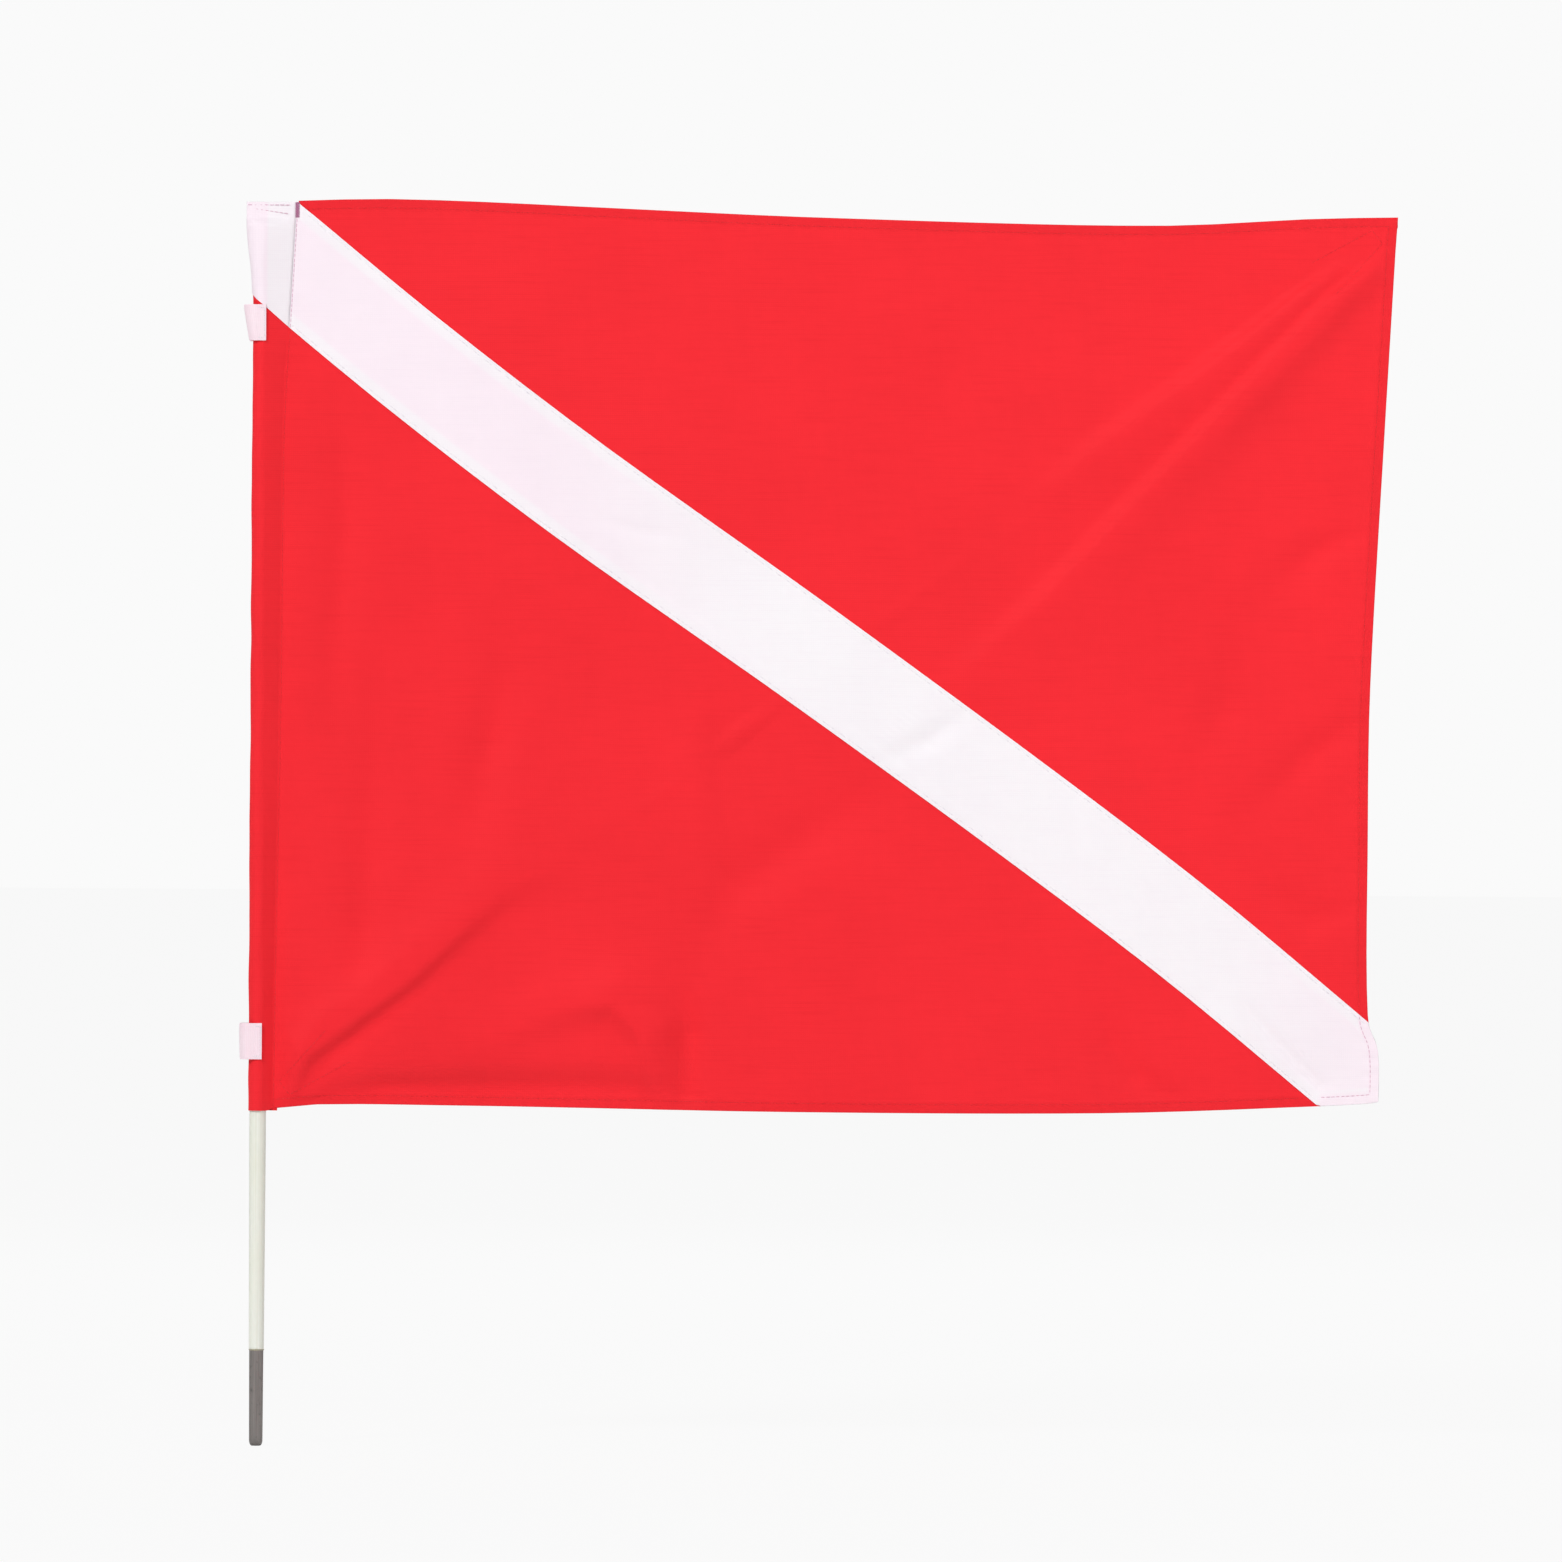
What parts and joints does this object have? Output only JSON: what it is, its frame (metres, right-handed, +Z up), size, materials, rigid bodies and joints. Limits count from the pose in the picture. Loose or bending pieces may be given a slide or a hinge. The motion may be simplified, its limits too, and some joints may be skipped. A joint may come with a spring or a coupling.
{
  "type": "signal flag with pole",
  "caption": "Red cloth signal flag with a white diagonal stripe, sleeved over a slim fibreglass pole with a steel spigot, held open by a diagonal stiffener.",
  "frame": {"origin": "centre of the flat foot of the pole's steel ferrule, on the pole's axis", "axes": "+Z up the pole, +X from the pole to the flag's fly edge, +Y towards the flag's back, where the stiffener lies"},
  "size_m": [0.6558, 0.0135, 0.709],
  "materials": {
    "fibreglass": "pultruded glass-fibre rod, satin, pale greenish white",
    "steel": "drawn steel, dull, lightly rubbed",
    "black_vinyl": "dip-moulded vinyl, matte",
    "red_nylon": "plain woven nylon, red",
    "white_nylon": "plain woven nylon, white",
    "webbing": "woven nylon tape, white",
    "red_thread": "twisted polyester thread, red",
    "white_thread": "twisted polyester thread, white",
    "rose_thread": "twisted polyester thread, dull rose",
    "clear_vinyl": "dip-moulded vinyl, milky"
  },
  "bodies": {
    "pole": {"pole_rod": "fibreglass", "pole_ferrule": "steel"},
    "rod_cap": {"rod_tip_cap": "black_vinyl"},
    "flag": {"sleeve_lower": "red_nylon", "sleeve_upper": "white_nylon", "upper_field": "red_nylon", "diagonal_stripe": "white_nylon", "lower_field": "red_nylon", "upper_line_loop": "webbing", "lower_line_loop": "webbing", "upper_loop_stitching": "white_thread", "lower_loop_stitching": "white_thread", "stiffener_rod": "fibreglass", "stiffener_tip_lower": "clear_vinyl", "stiffener_tip_upper": "clear_vinyl", "lower_corner_pocket": "red_nylon", "upper_corner_pocket": "red_nylon", "lower_pocket_stitching": "red_thread", "upper_pocket_stitching": "red_thread", "hem_stitching": "red_thread", "stripe_upper_stitching": "white_thread", "stripe_lower_stitching": "white_thread", "sleeve_seam_stitching": "rose_thread", "sleeve_top_bar_tack": "rose_thread", "sleeve_top_stitching": "rose_thread"}
  },
  "joints": [
    {"name": "flag_swivel", "type": "hinge", "parent": "pole", "child": "rod_cap", "pos_m": [0, 0, 0.65], "axis": [0, 0, 1], "continuous": true},
    {"name": "flag_lift", "type": "slide", "parent": "rod_cap", "child": "flag", "axis": [0, 0, 1], "range_m": [0, 0.52]}
  ]
}
